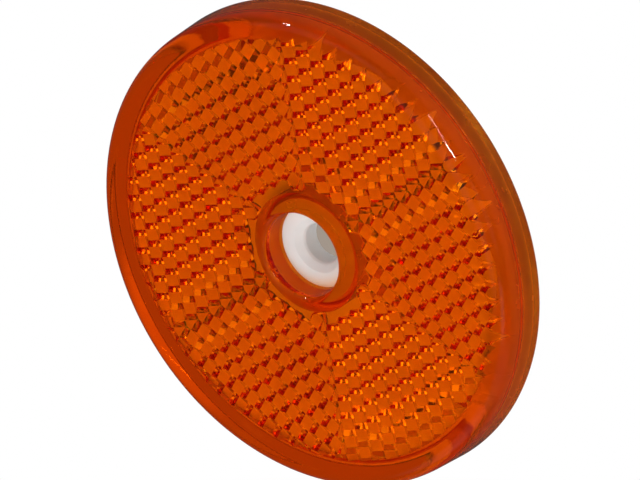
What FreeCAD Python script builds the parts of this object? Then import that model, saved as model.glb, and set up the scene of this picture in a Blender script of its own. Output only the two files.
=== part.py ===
import FreeCAD, Part
import math
import os

# Round screw-on reflex reflector, for a wall, post or barrier.
# Built lying on its back in local axes: r outward from the axis, w forward from the mounting face.
# The last step stands it up: the lens then faces -Y, +Z is up, and the origin is on the axis at
# the back mounting face.  Sizes are in millimetres.

# ---- driving dimensions -------------------------------------------------------------------------
lens_radius = 30.0              # widest circle, at the back edge of the skirt
overall_depth = 6.7             # mounting face to lens front
front_edge_radius = 2.2         # big round between the flat front and the side
back_edge_radius = 0.3
side_draft = math.radians(3.0)  # the side narrows towards the front, to leave the mould
front_wall = 2.3                # solid thickness in front of the prisms
skirt_inner_radius = 26.6       # the prisms run out into the skirt here
lens_hole_radius = 5.3
lens_hole_edge_radius = 0.7
seat_depth = 3.4                # lens front to the white seat that the screw head rests on

prism_pitch = 2.25              # across the flats of one hexagonal prism
prism_root_gap = 0.1            # highest prism corners stop this far short of the front wall
field_inner_radius = 7.8        # plain ring inside this
sector_count = 6                # the prisms turn by one sector step from each sector to the next

plate_thickness = 1.8
plate_clearance = 0.1           # radial gap between plate and skirt, and between boss and collar
rebate_width = 1.1              # step in the skirt that the plate drops into
boss_radius = 6.5
collar_radius = 7.6             # outside of the lens collar that sleeves the boss
spigot_height = 0.3             # the seat stands this far up inside the lens hole, to centre it
spigot_clearance = 0.05
bore_radius = 2.5               # clearance for a 4.5 mm screw
countersink_radius = 3.4

bead_half_height = 0.2          # weld bead: a diamond section, half in the lens and half in the plate
pocket_depth = 0.7              # shallow moulded pockets in the back of the plate
pocket_inner_radius = 6.0
pocket_outer_radius = 24.5
rib_width = 1.6
rib_count = 6

# ---- worked out from them -----------------------------------------------------------------------
front_w = overall_depth
wall_back_w = front_w - front_wall
seat_w = front_w - seat_depth
shoulder_w = seat_w - spigot_height
plate_front_w = plate_thickness
rebate_radius = skirt_inner_radius + rebate_width
plate_radius = rebate_radius - plate_clearance
collar_bore_radius = boss_radius + plate_clearance
outer_bead_radius = (skirt_inner_radius + plate_radius) / 2
inner_bead_radius = (collar_bore_radius + collar_radius) / 2

cube_edge = prism_pitch / math.sqrt(2)         # edge of the cube whose corner makes each prism
corner_rise = cube_edge / math.sqrt(3)         # from the prism tip up to its three near corners
root_w = wall_back_w - prism_root_gap          # highest corners
tip_w = root_w - 2 * corner_rise
hexagon_radius = prism_pitch / math.sqrt(3)
tolerance = 1e-6                               # points closer than this are the same point


def point(r, w):
    """A point of a turned profile."""
    return FreeCAD.Vector(r, 0, w)


def arc(centre_r, centre_w, radius, start, middle, end):
    """Profile arc through three directions, in degrees from the outward radius."""
    ends = [point(centre_r + radius * math.cos(math.radians(a)),
                  centre_w + radius * math.sin(math.radians(a))) for a in (start, middle, end)]
    return Part.Arc(*ends).toShape()


def ends(item):
    """Start and end of one item of a profile, a point or an arc."""
    if isinstance(item, FreeCAD.Vector):
        return item, item
    return item.firstVertex(True).Point, item.lastVertex(True).Point


def turn(profile):
    """Solid of revolution of a closed profile of points and arcs, joined by straight lines."""
    edges = []
    last = ends(profile[-1])[1]
    for item in profile:
        start, end = ends(item)
        if last.distanceToPoint(start) > tolerance:
            edges.append(Part.makeLine(last, start))
        if isinstance(item, Part.Edge):
            edges.append(item)
        last = end
    face = Part.Face(Part.Wire(edges))
    return face.revolve(FreeCAD.Vector(0, 0, 0), FreeCAD.Vector(0, 0, 1), 360)


def ring(inner, outer, bottom, height):
    """Plain flat ring."""
    start = FreeCAD.Vector(0, 0, bottom)
    return Part.makeCylinder(outer, height, start).cut(Part.makeCylinder(inner, height, start))


# ---- lens ---------------------------------------------------------------------------------------
def lens_body():
    """Everything of the lens except its prisms."""
    draft_degrees = math.degrees(side_draft)
    round_w = front_w - front_edge_radius
    side_rise = round_w + front_edge_radius * math.sin(side_draft) - back_edge_radius
    round_r = (lens_radius - front_edge_radius * math.cos(side_draft)
               - side_rise * math.tan(side_draft))
    hole_round_r = lens_hole_radius + lens_hole_edge_radius
    hole_round_w = front_w - lens_hole_edge_radius
    return turn([
        point(rebate_radius, 0),
        arc(lens_radius - back_edge_radius, back_edge_radius, back_edge_radius, -90, -45, 0),
        arc(round_r, round_w, front_edge_radius, draft_degrees, 45, 90),
        arc(hole_round_r, hole_round_w, lens_hole_edge_radius, 90, 135, 180),
        point(lens_hole_radius, shoulder_w),
        point(collar_bore_radius, shoulder_w),
        point(collar_bore_radius, plate_front_w),
        point(collar_radius, plate_front_w),
        point(collar_radius, wall_back_w),
        point(skirt_inner_radius, wall_back_w),
        point(skirt_inner_radius, plate_front_w),
        point(rebate_radius, plate_front_w),
    ])


def polar(radius, degrees, w):
    """A point at a radius and an angle about the axis."""
    angle = math.radians(degrees)
    return FreeCAD.Vector(radius * math.cos(angle), radius * math.sin(angle), w)


def keep_left_of(corners, degrees):
    """Clip a polygon to the left of the line through the axis in one direction."""
    direction = polar(1, degrees, 0)
    kept = []
    for here, after in zip(corners, corners[1:] + corners[:1]):
        here_side = direction.x * here.y - direction.y * here.x
        after_side = direction.x * after.y - direction.y * after.x
        if here_side > -tolerance:
            kept.append(here)
        if min(here_side, after_side) < -tolerance and max(here_side, after_side) > tolerance:
            kept.append(here + (after - here) * (here_side / (here_side - after_side)))
    return kept


def prism_cell(centre):
    """The three square cube faces of one prism, which meet at its tip."""
    faces = []
    for root_angle in (60, 180, 300):
        faces.append([centre + FreeCAD.Vector(0, 0, tip_w),
                      centre + polar(hexagon_radius, root_angle - 60, tip_w + corner_rise),
                      centre + polar(hexagon_radius, root_angle, root_w),
                      centre + polar(hexagon_radius, root_angle + 60, tip_w + corner_rise)])
    return faces


def prism_facets():
    """Facets of the whole prism field: one sector, clipped to its wedge and then repeated."""
    sector_step = 360 / sector_count
    along_left = polar(prism_pitch, sector_step / 2, 0)
    along_right = polar(prism_pitch, -sector_step / 2, 0)
    row_limit = int(skirt_inner_radius / prism_pitch) + 1
    sector = []
    for i in range(row_limit + 1):
        for j in range(row_limit + 1):
            centre = along_left * i + along_right * j
            rim = [(centre + polar(hexagon_radius, a, 0)).Length for a in range(0, 360, 60)]
            if min(rim) < field_inner_radius or min(rim) > skirt_inner_radius:
                continue
            for corners in prism_cell(centre):
                corners = keep_left_of(corners, -sector_step / 2)
                corners = keep_left_of(corners, sector_step / 2 + 180)
                if len(corners) > 2:
                    sector.append(corners)
    facets = []
    for step in range(sector_count):
        turned = FreeCAD.Rotation(FreeCAD.Vector(0, 0, 1), step * sector_step)
        facets += [[turned.multVec(corner) for corner in corners] for corners in sector]
    return facets


def border_loops(facets):
    """Closed loops of the facet edges that belong to one facet only."""
    def key(corner):
        return (round(corner.x, 4), round(corner.y, 4))
    edges = {}
    for corners in facets:
        for here, after in zip(corners, corners[1:] + corners[:1]):
            edges[(key(here), key(after))] = (here, after)
    free = {a: pair for (a, b), pair in edges.items() if (b, a) not in edges}
    loops = []
    while free:
        start, pair = free.popitem()
        loop = [pair[0]]
        while key(pair[1]) != start:
            pair = free.pop(key(pair[1]))
            loop.append(pair[0])
        loops.append(loop)
    return loops


def prism_field():
    """The prisms as one closed block, with its flat top sunk into the front wall."""
    top_w = wall_back_w + prism_root_gap
    facets = prism_facets()
    faces = [Part.Face(Part.makePolygon(corners + corners[:1])) for corners in facets]
    caps = []
    for loop in border_loops(facets):
        raised = [FreeCAD.Vector(corner.x, corner.y, top_w) for corner in loop]
        caps.append(Part.makePolygon(raised + raised[:1]))
        for n in range(len(loop)):
            following = (n + 1) % len(loop)
            wall = [loop[n], loop[following], raised[following], raised[n], loop[n]]
            faces.append(Part.Face(Part.makePolygon(wall)))
    caps.sort(key=lambda wire: wire.BoundBox.DiagonalLength, reverse=True)
    faces.append(Part.Face(caps))
    shell = Part.makeShell(faces)
    shell.sewShape()
    block = Part.makeSolid(shell)
    if block.Volume < 0:
        block.reverse()
    return block


def make_lens():
    """Amber lens: front wall, skirt, collar and prisms in one moulding."""
    body = lens_body().fuse(prism_field())
    for bead in (make_bead(inner_bead_radius), make_bead(outer_bead_radius)):
        body = body.cut(bead)
    return body


# ---- back plate ---------------------------------------------------------------------------------
def rear_pockets():
    """Shallow pockets that leave a rim, a hub and ribs standing on the back of the plate."""
    pockets = ring(pocket_inner_radius, pocket_outer_radius, 0, pocket_depth)
    for n in range(rib_count // 2):
        rib = Part.makeBox(2 * lens_radius, rib_width, pocket_depth,
                           FreeCAD.Vector(-lens_radius, -rib_width / 2, 0))
        rib.rotate(FreeCAD.Vector(0, 0, 0), FreeCAD.Vector(0, 0, 1), n * 360 / rib_count)
        pockets = pockets.cut(rib)
    return pockets


def make_back_plate():
    """White plate with the boss that carries the screw seat, the countersink and the bore."""
    body = turn([
        point(bore_radius, 0),
        point(plate_radius, 0),
        point(plate_radius, plate_front_w),
        point(boss_radius, plate_front_w),
        point(boss_radius, shoulder_w),
        point(lens_hole_radius - spigot_clearance, shoulder_w),
        point(lens_hole_radius - spigot_clearance, seat_w),
        point(countersink_radius, seat_w),
        point(bore_radius, seat_w - (countersink_radius - bore_radius)),
    ])
    for cutter in (rear_pockets(), make_bead(inner_bead_radius), make_bead(outer_bead_radius)):
        body = body.cut(cutter)
    return body


# ---- weld beads ---------------------------------------------------------------------------------
def make_bead(radius):
    """Ring of plastic fused between lens and plate by the ultrasonic weld."""
    return turn([
        point(radius - bead_half_height, plate_front_w),
        point(radius, plate_front_w - bead_half_height),
        point(radius + bead_half_height, plate_front_w),
        point(radius, plate_front_w + bead_half_height),
    ])


# ---- assembly -----------------------------------------------------------------------------------
pieces = {
    "lens": make_lens(),
    "back_plate": make_back_plate(),
    "outer_weld_bead": make_bead(outer_bead_radius),
    "inner_weld_bead": make_bead(inner_bead_radius),
}

os.makedirs("parts", exist_ok=True)
for name, shape in pieces.items():
    shape.rotate(FreeCAD.Vector(0, 0, 0), FreeCAD.Vector(1, 0, 0), 90)
    shape.exportStep("parts/" + name + ".step")
    print(name, "solids", len(shape.Solids), "valid", shape.isValid(), "volume", round(shape.Volume, 2))
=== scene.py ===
import math

import bmesh
import bpy
from mathutils import Matrix, Vector


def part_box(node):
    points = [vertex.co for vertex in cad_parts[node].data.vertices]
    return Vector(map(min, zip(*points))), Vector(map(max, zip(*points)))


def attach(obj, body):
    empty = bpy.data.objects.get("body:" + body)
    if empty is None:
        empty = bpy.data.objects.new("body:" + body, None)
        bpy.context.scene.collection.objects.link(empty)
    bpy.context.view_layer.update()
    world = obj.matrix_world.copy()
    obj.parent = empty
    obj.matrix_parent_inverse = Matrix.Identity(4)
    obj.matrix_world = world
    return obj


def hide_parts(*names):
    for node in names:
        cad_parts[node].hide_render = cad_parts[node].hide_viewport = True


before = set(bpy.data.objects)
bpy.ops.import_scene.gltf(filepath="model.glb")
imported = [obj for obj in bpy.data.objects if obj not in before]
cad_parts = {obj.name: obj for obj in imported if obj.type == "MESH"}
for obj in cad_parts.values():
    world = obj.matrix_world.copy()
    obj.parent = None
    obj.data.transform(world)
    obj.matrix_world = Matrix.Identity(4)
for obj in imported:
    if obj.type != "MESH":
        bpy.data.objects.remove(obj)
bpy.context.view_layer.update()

# The reflector stands upright: its lens faces -Y and its axis is the Y axis.  Shapes are built lying on
# their back in local axes, with r outward from the axis and w forward from the mounting face, and the
# last step of each build stands them up.

MM = 0.001

# ---- sizes --------------------------------------------------------------------------------------
lens_low, lens_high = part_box("lens")
plate_low, plate_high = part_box("back_plate")
bead_low, bead_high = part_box("outer_weld_bead")

LENS_RADIUS = (lens_high[0] - lens_low[0]) / 2
DEPTH = -lens_low[1]
FRONT_EDGE_RADIUS = 2.2 * MM
BACK_EDGE_RADIUS = 0.3 * MM
SIDE_DRAFT = math.radians(3.0)
FRONT_WALL = 2.3 * MM
SKIRT_INNER_RADIUS = 26.6 * MM
REBATE_RADIUS = 27.7 * MM
LENS_HOLE_RADIUS = 5.3 * MM
LENS_HOLE_EDGE_RADIUS = 0.7 * MM
COLLAR_RADIUS = 7.6 * MM
COLLAR_BORE_RADIUS = 6.6 * MM

PRISM_PITCH = 2.25 * MM
PRISM_ROOT_GAP = 0.1 * MM
FIELD_INNER_RADIUS = 7.8 * MM
SECTOR_COUNT = 6

PLATE_RADIUS = (plate_high[0] - plate_low[0]) / 2
PLATE_THICKNESS = -(bead_low[1] + bead_high[1]) / 2
BOSS_RADIUS = 6.5 * MM
SEAT_W = -plate_low[1]
SPIGOT_RADIUS = 5.25 * MM
SPIGOT_HEIGHT = 0.3 * MM
SHOULDER_W = SEAT_W - SPIGOT_HEIGHT
COUNTERSINK_RADIUS = 3.4 * MM
BORE_RADIUS = 2.5 * MM
SMALL_ROUND = 0.15 * MM         # broken edges of the white moulding
CONTACT_GAP = 0.01 * MM         # air film where plate and lens touch
POCKET_DEPTH = 0.7 * MM
POCKET_INNER_RADIUS = 6.0 * MM
POCKET_OUTER_RADIUS = 24.5 * MM
RIB_WIDTH = 1.6 * MM
RIB_COUNT = 6

WALL_BACK_W = DEPTH - FRONT_WALL
CORNER_RISE = PRISM_PITCH / math.sqrt(6)
ROOT_W = WALL_BACK_W - PRISM_ROOT_GAP
TIP_W = ROOT_W - 2 * CORNER_RISE
HEXAGON_RADIUS = PRISM_PITCH / math.sqrt(3)
TURN_STEPS = 360
BACK_EDGE_STEPS = 6
FRONT_EDGE_STEPS = 24
HOLE_EDGE_STEPS = 12
SMALL_ROUND_STEPS = 4
POCKET_INNER_STEPS = 12
POCKET_OUTER_STEPS = 48
SKIRT_SIDES = 180               # the prisms are cut off by a polygon with this many sides
SHARP_ANGLE = math.radians(20)
SAME_POINT = 0.001 * MM
POLISHED, SATIN = 0, 1          # the lens's two skins: outside and prisms, and its other inner faces


# ---- mesh helpers -------------------------------------------------------------------------------
def polar(radius, degrees, w):
    """A point at a radius and an angle about the axis."""
    angle = math.radians(degrees)
    return Vector((radius * math.cos(angle), radius * math.sin(angle), w))


def arc(centre_r, centre_w, radius, start, end, steps):
    """Points of a profile arc, between two directions in degrees from the outward radius."""
    points = []
    for n in range(steps + 1):
        angle = math.radians(start + (end - start) * n / steps)
        points.append((centre_r + radius * math.cos(angle), centre_w + radius * math.sin(angle)))
    return points


def turn(bm, outline, skin=0):
    """Surface of revolution of an open outline, in one of the piece's materials."""
    rings = []
    for r, w in outline:
        rings.append([bm.verts.new(polar(r, 360 * n / TURN_STEPS, w)) for n in range(TURN_STEPS)])
    for near, far in zip(rings, rings[1:]):
        for n in range(TURN_STEPS):
            after = (n + 1) % TURN_STEPS
            bm.faces.new((near[n], near[after], far[after], far[n])).material_index = skin


def fill_flat(bm, edges, normal):
    """Fills the flat area between closed loops of edges, keeping the holes open."""
    bmesh.ops.triangle_fill(bm, use_beauty=True, edges=edges, normal=normal)


def open_edges(bm):
    """Edges with a face on one side only."""
    return [edge for edge in bm.edges if len(edge.link_faces) < 2]


def stand_up(bm, name):
    """Turns the finished mesh upright and makes it an object, smooth but for its sharp edges."""
    bmesh.ops.recalc_face_normals(bm, faces=bm.faces)
    for edge in bm.edges:
        edge.smooth = edge.calc_face_angle(math.pi) < SHARP_ANGLE
    for face in bm.faces:
        face.smooth = True
    mesh = bpy.data.meshes.new(name)
    bm.to_mesh(mesh)
    bm.free()
    mesh.transform(Matrix.Rotation(math.radians(90), 4, "X"))
    piece = bpy.data.objects.new(name, mesh)
    bpy.context.collection.objects.link(piece)
    return piece


# ---- lens ---------------------------------------------------------------------------------------
def outside_outline():
    """Section of the polished outside of the lens, from the mounting face to the bottom of its hole."""
    round_w = DEPTH - FRONT_EDGE_RADIUS
    side_rise = round_w + FRONT_EDGE_RADIUS * math.sin(SIDE_DRAFT) - BACK_EDGE_RADIUS
    round_r = (LENS_RADIUS - FRONT_EDGE_RADIUS * math.cos(SIDE_DRAFT)
               - side_rise * math.tan(SIDE_DRAFT))
    outline = [(REBATE_RADIUS, 0)]
    outline += arc(LENS_RADIUS - BACK_EDGE_RADIUS, BACK_EDGE_RADIUS, BACK_EDGE_RADIUS, -90, 0,
                   BACK_EDGE_STEPS)
    outline += arc(round_r, round_w, FRONT_EDGE_RADIUS, math.degrees(SIDE_DRAFT), 90, FRONT_EDGE_STEPS)
    outline += arc(LENS_HOLE_RADIUS + LENS_HOLE_EDGE_RADIUS, DEPTH - LENS_HOLE_EDGE_RADIUS,
                   LENS_HOLE_EDGE_RADIUS, 90, 180, HOLE_EDGE_STEPS)
    outline += [(LENS_HOLE_RADIUS, SHOULDER_W)]
    return outline


def collar_outline():
    """Section of the collar round the boss, from the lens hole out to the back of the front wall."""
    return [(LENS_HOLE_RADIUS, SHOULDER_W), (COLLAR_BORE_RADIUS, SHOULDER_W),
            (COLLAR_BORE_RADIUS, PLATE_THICKNESS), (COLLAR_RADIUS, PLATE_THICKNESS),
            (COLLAR_RADIUS, WALL_BACK_W)]


def cut_off(corners, degrees, reach):
    """Cuts off the part of a polygon that reaches too far from the axis in one direction."""
    outward = polar(1, degrees, 0)
    kept = []
    for here, after in zip(corners, corners[1:] + corners[:1]):
        spare_here = reach - here.dot(outward)
        spare_after = reach - after.dot(outward)
        if spare_here > -SAME_POINT:
            kept.append(here)
        if min(spare_here, spare_after) < -SAME_POINT and max(spare_here, spare_after) > SAME_POINT:
            kept.append(here.lerp(after, spare_here / (spare_here - spare_after)))
    return kept


def prism_cell(centre):
    """The three square cube faces of one prism, which meet at its tip."""
    faces = []
    for root_angle in (60, 180, 300):
        faces.append([centre + Vector((0, 0, TIP_W)),
                      centre + polar(HEXAGON_RADIUS, root_angle - 60, TIP_W + CORNER_RISE),
                      centre + polar(HEXAGON_RADIUS, root_angle, ROOT_W),
                      centre + polar(HEXAGON_RADIUS, root_angle + 60, TIP_W + CORNER_RISE)])
    return faces


def prism_facets():
    """Facets of the whole prism field: one sector, cut to its wedge and the skirt, then repeated."""
    half_sector = 180 / SECTOR_COUNT
    skirt_step = 360 / SKIRT_SIDES
    along_left = polar(PRISM_PITCH, half_sector, 0)
    along_right = polar(PRISM_PITCH, -half_sector, 0)
    row_limit = int(SKIRT_INNER_RADIUS / PRISM_PITCH) + 1
    sector = []
    for i in range(row_limit + 1):
        for j in range(row_limit + 1):
            centre = along_left * i + along_right * j
            rim = [(centre + polar(HEXAGON_RADIUS, a, 0)).length for a in range(0, 360, 60)]
            if min(rim) < FIELD_INNER_RADIUS or min(rim) > SKIRT_INNER_RADIUS:
                continue
            for corners in prism_cell(centre):
                corners = cut_off(corners, half_sector + 90, 0)
                corners = cut_off(corners, -half_sector - 90, 0)
                for side in range(int(2 * half_sector / skirt_step)):
                    degrees = -half_sector + skirt_step * (side + 0.5)
                    corners = cut_off(corners, degrees, SKIRT_INNER_RADIUS)
                if len(corners) > 2:
                    sector.append(corners)
    facets = []
    for step in range(SECTOR_COUNT):
        turned = Matrix.Rotation(math.radians(2 * half_sector * step), 3, "Z")
        facets += [[turned @ corner for corner in corners] for corners in sector]
    return facets


def drop_walls(bm, edges, w, skin):
    """Upright walls from a ragged border of edges to one level."""
    ends = {}
    for edge in edges:
        for vert in edge.verts:
            if vert not in ends:
                ends[vert] = bm.verts.new((vert.co.x, vert.co.y, w))
    for edge in edges:
        a, b = edge.verts
        bm.faces.new((a, b, ends[b], ends[a])).material_index = skin


def add_prisms(bm):
    """Adds the prism field, with its short inner walls and the skirt wall that its border runs into."""
    faces = [bm.faces.new([bm.verts.new(corner) for corner in corners]) for corners in prism_facets()]
    corners = list(dict.fromkeys(vert for face in faces for vert in face.verts))
    bmesh.ops.remove_doubles(bm, verts=corners, dist=SAME_POINT)
    border = [edge for edge in open_edges(bm) if PLATE_THICKNESS < min(v.co.z for v in edge.verts)
              and max(v.co.z for v in edge.verts) < WALL_BACK_W - SAME_POINT]
    middle = (FIELD_INNER_RADIUS + SKIRT_INNER_RADIUS) / 2
    outer = [edge for edge in border if edge.verts[0].co.xy.length > middle]
    inner = [edge for edge in border if edge.verts[0].co.xy.length < middle]
    drop_walls(bm, outer, PLATE_THICKNESS, SATIN)
    drop_walls(bm, inner, WALL_BACK_W, POLISHED)


def build_lens():
    """Amber lens: front wall, skirt, collar and prisms in one closed shape."""
    bm = bmesh.new()
    turn(bm, outside_outline(), POLISHED)
    turn(bm, collar_outline(), SATIN)
    turn(bm, [(REBATE_RADIUS, PLATE_THICKNESS), (REBATE_RADIUS, 0)], SATIN)
    bmesh.ops.remove_doubles(bm, verts=bm.verts, dist=SAME_POINT)
    add_prisms(bm)
    for level in (WALL_BACK_W, PLATE_THICKNESS):
        flat = [edge for edge in open_edges(bm) if abs(edge.verts[0].co.z - level) < SAME_POINT]
        fill_flat(bm, flat, (0, 0, -1))
    return stand_up(bm, "amber_lens")


# ---- back plate ---------------------------------------------------------------------------------
def small_round(corner_r, corner_w, start):
    """Broken outer edge of the plate at a corner: its back edge from -90 degrees, a front edge from 0."""
    centre_w = corner_w + SMALL_ROUND if start < 0 else corner_w - SMALL_ROUND
    return arc(corner_r - SMALL_ROUND, centre_w, SMALL_ROUND, start, start + 90, SMALL_ROUND_STEPS)


def plate_outline():
    """Section of the plate from the outer edge of its back, round the front, to the bore."""
    top_w = PLATE_THICKNESS - CONTACT_GAP
    shoulder_w = SHOULDER_W - CONTACT_GAP
    cone_foot_w = SEAT_W - (COUNTERSINK_RADIUS - BORE_RADIUS)
    outline = small_round(PLATE_RADIUS, 0, -90)
    outline += small_round(PLATE_RADIUS, top_w, 0)
    outline += [(BOSS_RADIUS, top_w)]
    outline += small_round(BOSS_RADIUS, shoulder_w, 0)
    outline += [(SPIGOT_RADIUS, shoulder_w)]
    outline += small_round(SPIGOT_RADIUS, SEAT_W, 0)
    outline += [(COUNTERSINK_RADIUS + SMALL_ROUND, SEAT_W), (COUNTERSINK_RADIUS, SEAT_W - SMALL_ROUND / 3),
                (BORE_RADIUS + SMALL_ROUND, cone_foot_w + SMALL_ROUND),
                (BORE_RADIUS, cone_foot_w - SMALL_ROUND), (BORE_RADIUS, SMALL_ROUND),
                (BORE_RADIUS + SMALL_ROUND, 0)]
    return outline


def pocket_side(radius, half_rib, rib_angle, steps):
    """Points along one curved side of a rear pocket, from the rib at rib_angle to the next one."""
    start = math.degrees(math.asin(half_rib / radius))
    sweep = 360 / RIB_COUNT - 2 * start
    return [(radius, rib_angle + start + sweep * n / steps) for n in range(steps + 1)]


def pocket_outline(rib_angle, inset):
    """Corners of one rear pocket, drawn in all round by an inset."""
    half_rib = RIB_WIDTH / 2 + inset
    inner = pocket_side(POCKET_INNER_RADIUS + inset, half_rib, rib_angle, POCKET_INNER_STEPS)
    outer = pocket_side(POCKET_OUTER_RADIUS - inset, half_rib, rib_angle, POCKET_OUTER_STEPS)
    return inner + outer[::-1]


def add_pocket(bm, rib_angle):
    """One shallow pocket with a softened rim and a drafted wall."""
    levels = ((-SMALL_ROUND, 0), (0, SMALL_ROUND), (SMALL_ROUND / 2, POCKET_DEPTH - SMALL_ROUND),
              (SMALL_ROUND, POCKET_DEPTH))
    loops = []
    for inset, w in levels:
        loops.append([bm.verts.new(polar(r, a, w)) for r, a in pocket_outline(rib_angle, inset)])
    for near, far in zip(loops, loops[1:]):
        for n in range(len(near)):
            after = (n + 1) % len(near)
            bm.faces.new((near[n], near[after], far[after], far[n]))
    bm.faces.new(loops[-1])


def build_back_plate():
    """White plate with the boss that carries the screw seat, and its rear pockets."""
    bm = bmesh.new()
    turn(bm, plate_outline())
    for n in range(RIB_COUNT):
        add_pocket(bm, n * 360 / RIB_COUNT)
    fill_flat(bm, open_edges(bm), (0, 0, -1))
    return stand_up(bm, "white_back_plate")


# ---- materials ----------------------------------------------------------------------------------
SKIN_TINT = (1, 0.64, 0.12)             # colour that light takes on where it crosses the amber's skin
DEPTH_TINT = (0.985, 0.765, 0.0)        # colour that the amber leaves, more so the deeper it is
DEPTH_DENSITY = 500
ACRYLIC_IOR = 1.49
EDGE_SOFTNESS = 0.07 * MM
CLOUD_LOW, CLOUD_HIGH = 0.3, 0.7        # the noise node seldom goes past these


def new_material(name):
    """A new material, its node tree and its skin shader."""
    material = bpy.data.materials.new(name)
    material.use_nodes = True
    return material, material.node_tree, material.node_tree.nodes["Principled BSDF"]


def noise(tree, size, low, high):
    """Cloudy pattern with features of one size, running between two values."""
    where = tree.nodes.new("ShaderNodeTexCoord")
    cloud = tree.nodes.new("ShaderNodeTexNoise")
    cloud.inputs["Scale"].default_value = 1 / size
    cloud.inputs["Detail"].default_value = 3
    tree.links.new(where.outputs["Object"], cloud.inputs["Vector"])
    spread = tree.nodes.new("ShaderNodeMapRange")
    spread.inputs["From Min"].default_value = CLOUD_LOW
    spread.inputs["From Max"].default_value = CLOUD_HIGH
    spread.inputs["To Min"].default_value = low
    spread.inputs["To Max"].default_value = high
    tree.links.new(cloud.outputs["Fac"], spread.inputs["Value"])
    return spread.outputs["Result"]


def mixed_colour(tree, amount, first, second):
    """Colour between two others, by an amount from 0 to 1."""
    mix = tree.nodes.new("ShaderNodeMix")
    mix.data_type = "RGBA"
    mix.inputs["A"].default_value = (*first, 1)
    mix.inputs["B"].default_value = (*second, 1)
    tree.links.new(amount, mix.inputs["Factor"])
    return mix.outputs["Result"]


def roughened(tree, height, depth):
    """Surface direction of a skin with a pattern pressed into it to a depth."""
    bump = tree.nodes.new("ShaderNodeBump")
    bump.inputs["Distance"].default_value = depth
    tree.links.new(height, bump.inputs["Height"])
    return bump


def amber_acrylic(name, dullest, clear_share):
    """Amber acrylic, polished or satin: tinted at its skin and with depth, its edges a little round.

    The share of light that isn't clear is scattered at the skin.
    """
    material, tree, skin = new_material(name)
    skin.inputs["Base Color"].default_value = (*SKIN_TINT, 1)
    skin.inputs["IOR"].default_value = ACRYLIC_IOR
    skin.inputs["Transmission Weight"].default_value = clear_share
    if dullest > 0:
        tree.links.new(noise(tree, 3 * MM, dullest / 2, dullest), skin.inputs["Roughness"])
    else:
        skin.inputs["Roughness"].default_value = 0
    soft_edge = tree.nodes.new("ShaderNodeBevel")
    soft_edge.inputs["Radius"].default_value = EDGE_SOFTNESS
    waves = roughened(tree, noise(tree, 2 * MM, 0, 1), 0.008 * MM)
    tree.links.new(soft_edge.outputs["Normal"], waves.inputs["Normal"])
    tree.links.new(waves.outputs["Normal"], skin.inputs["Normal"])
    # Light on its way to the plate behind goes straight through, as it does on average.
    clear = tree.nodes.new("ShaderNodeBsdfTransparent")
    clear.inputs["Color"].default_value = (*SKIN_TINT, 1)
    path = tree.nodes.new("ShaderNodeLightPath")
    choice = tree.nodes.new("ShaderNodeMixShader")
    tree.links.new(path.outputs["Is Shadow Ray"], choice.inputs["Fac"])
    tree.links.new(skin.outputs["BSDF"], choice.inputs[1])
    tree.links.new(clear.outputs["BSDF"], choice.inputs[2])
    depth_tint = tree.nodes.new("ShaderNodeVolumeAbsorption")
    depth_tint.inputs["Color"].default_value = (*DEPTH_TINT, 1)
    depth_tint.inputs["Density"].default_value = DEPTH_DENSITY
    output = tree.nodes["Material Output"]
    tree.links.new(choice.outputs["Shader"], output.inputs["Surface"])
    tree.links.new(depth_tint.outputs["Volume"], output.inputs["Volume"])
    return material


def moulded_plastic(name, tone, other_tone, grain_depth):
    """Opaque moulded plastic: cloudy between two tones, with a fine grain and uneven gloss."""
    material, tree, skin = new_material(name)
    cloudy = mixed_colour(tree, noise(tree, 5 * MM, 0, 1), tone, other_tone)
    tree.links.new(cloudy, skin.inputs["Base Color"])
    tree.links.new(noise(tree, 1.5 * MM, 0.32, 0.5), skin.inputs["Roughness"])
    grain = roughened(tree, noise(tree, 0.12 * MM, 0, 1), grain_depth)
    tree.links.new(grain.outputs["Normal"], skin.inputs["Normal"])
    return material


# ---- build --------------------------------------------------------------------------------------
def place(piece, materials, node):
    """Gives a piece its materials and puts it in place of its CAD node."""
    for material in materials:
        piece.data.materials.append(material)
    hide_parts(node)
    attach(piece, "root")
    return piece


amber = (
    amber_acrylic("polished_amber", dullest=0, clear_share=1),
    amber_acrylic("satin_amber", dullest=0.3, clear_share=0.5),
)
white = moulded_plastic("white_abs", tone=(0.84, 0.85, 0.84), other_tone=(0.79, 0.79, 0.77),
                        grain_depth=0.004 * MM)
fused = moulded_plastic("fused_plastic", tone=(0.55, 0.13, 0.01), other_tone=(0.62, 0.18, 0.02),
                        grain_depth=0.02 * MM)
place(build_lens(), amber, "lens")
plate = place(build_back_plate(), (white,), "back_plate")
plate.visible_glossy = False    # the polarising filter takes its mirror image out of the polished lens
for bead in ("outer_weld_bead", "inner_weld_bead"):
    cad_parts[bead].data.materials.clear()
    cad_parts[bead].data.materials.append(fused)


# ---- studio -------------------------------------------------------------------------------------
SECTOR_BORDER = 30              # degrees; the view leans from the lens axis towards this direction
SOFT_LIGHTS = (                 # lean, turn, half width, soft edge (degrees) and strength of each
    (0, 0, 22, 8, 1.1),
    (50, 288, 9, 4, 2.8),
    (57, 60, 11, 5, 1.1),
    (63, 90, 16, 6, 1.0),
    (63, 228, 15, 5, 1.0),
    (63, 270, 15, 5, 0.8),
    (63, 335, 13, 6, 1.0),
    (74, 243, 12, 6, 1.2),
    (88, 270, 13, 6, 0.8),
    (180, 0, 84, 12, 0.36),
    (125, 0, 26, 16, 0.3),
)
ROOM_LIGHT = 0.08               # everywhere else
BACKDROP = 0.9                  # how bright the camera sees the room above the floor
GLARE_LEFT = 0.12               # share of the soft lights' mirror images that a polarising filter leaves
BEHIND = (180, 0, 84, 6, 1)     # the room behind the lens, given like a soft light
TWICE_THROUGH = (1, 0.28, 0.05)  # its colour in the lens, because that light has come down through the rim
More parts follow.
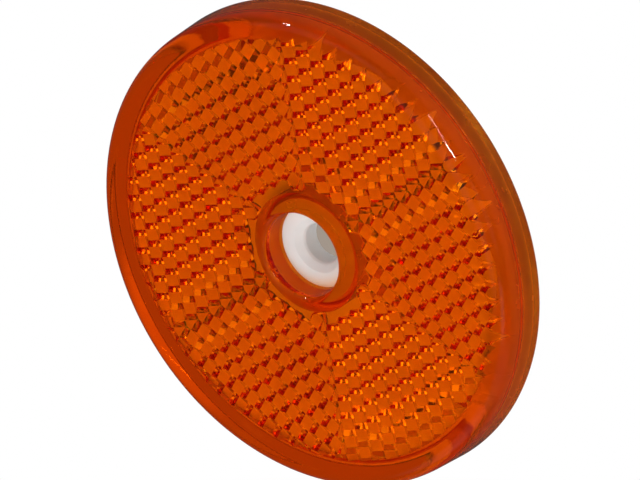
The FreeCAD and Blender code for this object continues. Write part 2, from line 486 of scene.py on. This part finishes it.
LAMPS = (                       # lean and turn of both ends, thickness (degrees) and strength of each
    (49, 3, 54, 8, 4, 50),
    (53, 7, 76, 21, 1.8, 14),
    (82, 88.7, 85, 88.7, 3, 60),
)
FILLS = (                       # lean, turn and strength of each; no polished face shows them
    (20, 270, 1.5),
    (155, 180, 1.1),
)
FILL_WIDTH = 40                 # degrees across each fill light
VIEW_LEAN = 44.4                # degrees from the lens axis to the camera
VIEW_ROLL = 31.5                # turn of the camera about its own axis
VIEW_DISTANCE = 1.6
VIEW_LENS = 763.8               # focal length that makes the disc fill the picture from there
VIEW_SHIFT_RIGHT = 0.00166      # the disc stands this far right and up of the picture's middle
VIEW_SHIFT_UP = 0.0005
FLOOR_DROP = -0.3
FLOOR_REACH = 60
SHADE_CORE, SHADE_EDGE = 0.012, 0.025   # radii between which the shade on the floor fades out
SHADE_TONE = (0.36, 0.30, 0.25)
BOUNCES = 24                    # light crosses many prism faces before it is lost


def studio_direction(lean, turned):
    """Direction that leans away from the lens axis, towards a turn from the sector border."""
    lean = math.radians(lean)
    turned = math.radians(turned + SECTOR_BORDER)
    return Vector((math.sin(lean) * math.cos(turned), -math.cos(lean), math.sin(lean) * math.sin(turned)))


def calculate(tree, operation, first, second):
    """Result of one operation on two values."""
    step = tree.nodes.new("ShaderNodeMath")
    step.operation = operation
    tree.links.new(first, step.inputs[0])
    tree.links.new(second, step.inputs[1])
    return step.outputs["Value"]


def soft_light(tree, light):
    """Brightness of one round soft light, far away in one direction."""
    lean, turned, half_width, soft_edge, strength = light
    view = tree.nodes.new("ShaderNodeTexCoord")
    closeness = tree.nodes.new("ShaderNodeVectorMath")
    closeness.operation = "DOT_PRODUCT"
    closeness.inputs[1].default_value = studio_direction(lean, turned)
    tree.links.new(view.outputs["Generated"], closeness.inputs[0])
    edge = tree.nodes.new("ShaderNodeMapRange")
    edge.interpolation_type = "SMOOTHSTEP"
    edge.inputs["From Min"].default_value = math.cos(math.radians(half_width + soft_edge))
    edge.inputs["From Max"].default_value = math.cos(math.radians(half_width - soft_edge))
    edge.inputs["To Max"].default_value = strength
    tree.links.new(closeness.outputs["Value"], edge.inputs["Value"])
    return edge.outputs["Result"]


def room_brightness(tree):
    """Dim room with the soft lights round it."""
    room = tree.nodes.new("ShaderNodeValue")
    room.outputs["Value"].default_value = ROOM_LIGHT
    total = room.outputs["Value"]
    for light in SOFT_LIGHTS:
        total = calculate(tree, "ADD", total, soft_light(tree, light))
    return total


def glare_share(tree, path):
    """Share of the room's light that arrives: all of it, but little of it in a mirror image."""
    mirrored = calculate(tree, "SUBTRACT", path.outputs["Is Reflection Ray"], path.outputs["Is Diffuse Ray"])
    share = tree.nodes.new("ShaderNodeMapRange")
    share.inputs["To Min"].default_value = 1
    share.inputs["To Max"].default_value = GLARE_LEFT
    tree.links.new(mirrored, share.inputs["Value"])
    return share.outputs["Result"]


def set_world():
    """Room with its glare cut, warmer where the lens shows what is behind it, and a pale backdrop."""
    world = bpy.data.worlds.new("studio")
    bpy.context.scene.world = world
    world.use_nodes = True
    tree = world.node_tree
    path = tree.nodes.new("ShaderNodeLightPath")
    strength = calculate(tree, "MULTIPLY", room_brightness(tree), glare_share(tree, path))
    through = calculate(tree, "MULTIPLY", soft_light(tree, BEHIND), path.outputs["Is Transmission Ray"])
    colour = mixed_colour(tree, through, (1, 1, 1), TWICE_THROUGH)
    backdrop = tree.nodes.new("ShaderNodeMix")
    backdrop.inputs["B"].default_value = BACKDROP
    tree.links.new(strength, backdrop.inputs["A"])
    tree.links.new(path.outputs["Is Camera Ray"], backdrop.inputs["Factor"])
    background = tree.nodes["Background"]
    tree.links.new(colour, background.inputs["Color"])
    tree.links.new(backdrop.outputs["Result"], background.inputs["Strength"])


def add_light(name, kind, direction, across):
    """A light at arm's length in one direction, facing the object, with its width along another."""
    data = bpy.data.lights.new(name, kind)
    light = bpy.data.objects.new(name, data)
    width = (across - direction * across.dot(direction)).normalized()
    light.matrix_world = Matrix((width, direction.cross(width), direction)).transposed().to_4x4()
    light.location = direction
    light.visible_camera = False
    bpy.context.collection.objects.link(light)
    return light


def set_lamps():
    """Small strong lamps for highlights and sparkles, which no surface scatters."""
    for near_lean, near_turn, far_lean, far_turn, thickness, strength in LAMPS:
        near = studio_direction(near_lean, near_turn)
        far = studio_direction(far_lean, far_turn)
        lamp = add_light("lamp", "AREA", (near + far).normalized(), far - near)
        lamp.data.shape = "RECTANGLE"
        lamp.data.size = (far - near).length
        lamp.data.size_y = math.radians(thickness)
        lamp.data.energy = strength * math.pi * lamp.data.size * lamp.data.size_y
        lamp.visible_diffuse = False


def set_fills():
    """Broad lights that only scattering surfaces catch, such as the white plate."""
    for lean, turned, strength in FILLS:
        fill = add_light("fill", "SUN", studio_direction(lean, turned), Vector((1, 0, 0)))
        fill.data.energy = strength
        fill.data.angle = math.radians(FILL_WIDTH)
        fill.visible_glossy = False
        fill.visible_transmission = False


def set_floor():
    """Pale floor of even brightness, with soft shade where the line of sight through the bore meets it."""
    sight = view_direction()
    shade_centre = sight * (FLOOR_DROP / sight.z)
    corners = [(-FLOOR_REACH, -FLOOR_REACH, FLOOR_DROP), (FLOOR_REACH, -FLOOR_REACH, FLOOR_DROP),
               (FLOOR_REACH, FLOOR_REACH, FLOOR_DROP), (-FLOOR_REACH, FLOOR_REACH, FLOOR_DROP)]
    mesh = bpy.data.meshes.new("floor")
    mesh.from_pydata(corners, [], [(0, 1, 2, 3)])
    floor = bpy.data.objects.new("floor", mesh)
    bpy.context.collection.objects.link(floor)
    material, tree, skin = new_material("pale_floor")
    where = tree.nodes.new("ShaderNodeNewGeometry")
    away = tree.nodes.new("ShaderNodeVectorMath")
    away.operation = "DISTANCE"
    away.inputs[1].default_value = shade_centre
    tree.links.new(where.outputs["Position"], away.inputs[0])
    fade = tree.nodes.new("ShaderNodeMapRange")
    fade.interpolation_type = "SMOOTHSTEP"
    fade.inputs["From Min"].default_value = SHADE_CORE
    fade.inputs["From Max"].default_value = SHADE_EDGE
    tree.links.new(away.outputs["Value"], fade.inputs["Value"])
    tone = mixed_colour(tree, fade.outputs["Result"], SHADE_TONE, (1, 1, 1))
    skin.inputs["Base Color"].default_value = (0, 0, 0, 1)
    skin.inputs["Specular IOR Level"].default_value = 0
    skin.inputs["Emission Strength"].default_value = 1
    tree.links.new(tone, skin.inputs["Emission Color"])
    mesh.materials.append(material)
    floor.visible_diffuse = False
    floor.visible_glossy = False
    floor.visible_transmission = False
    floor.visible_shadow = False


def view_direction():
    """From the object to the camera."""
    return studio_direction(VIEW_LEAN, 0)


def set_camera():
    """Long lens, turned about its own axis so that the slope of the disc in the picture is right."""
    roll = math.radians(VIEW_ROLL)
    toward = view_direction()
    along = studio_direction(VIEW_LEAN + 90, 0)
    across = toward.cross(along)
    right = along * math.cos(roll) - across * math.sin(roll)
    up = along * math.sin(roll) + across * math.cos(roll)
    camera = bpy.data.objects.new("camera", bpy.data.cameras.new("camera"))
    bpy.context.collection.objects.link(camera)
    camera.matrix_world = Matrix((right, up, toward)).transposed().to_4x4()
    camera.location = toward * VIEW_DISTANCE - right * VIEW_SHIFT_RIGHT - up * VIEW_SHIFT_UP
    camera.data.lens = VIEW_LENS
    camera.data.clip_end = 2 * FLOOR_REACH
    bpy.context.scene.camera = camera


def set_light_paths():
    """Plain colours, and enough bounces for light to find its way through the prisms."""
    scene = bpy.context.scene
    scene.view_settings.view_transform = "Standard"
    scene.cycles.max_bounces = BOUNCES
    scene.cycles.transmission_bounces = BOUNCES
    scene.cycles.glossy_bounces = BOUNCES
    scene.cycles.transparent_max_bounces = BOUNCES


set_world()
set_lamps()
set_fills()
set_floor()
set_camera()
set_light_paths()
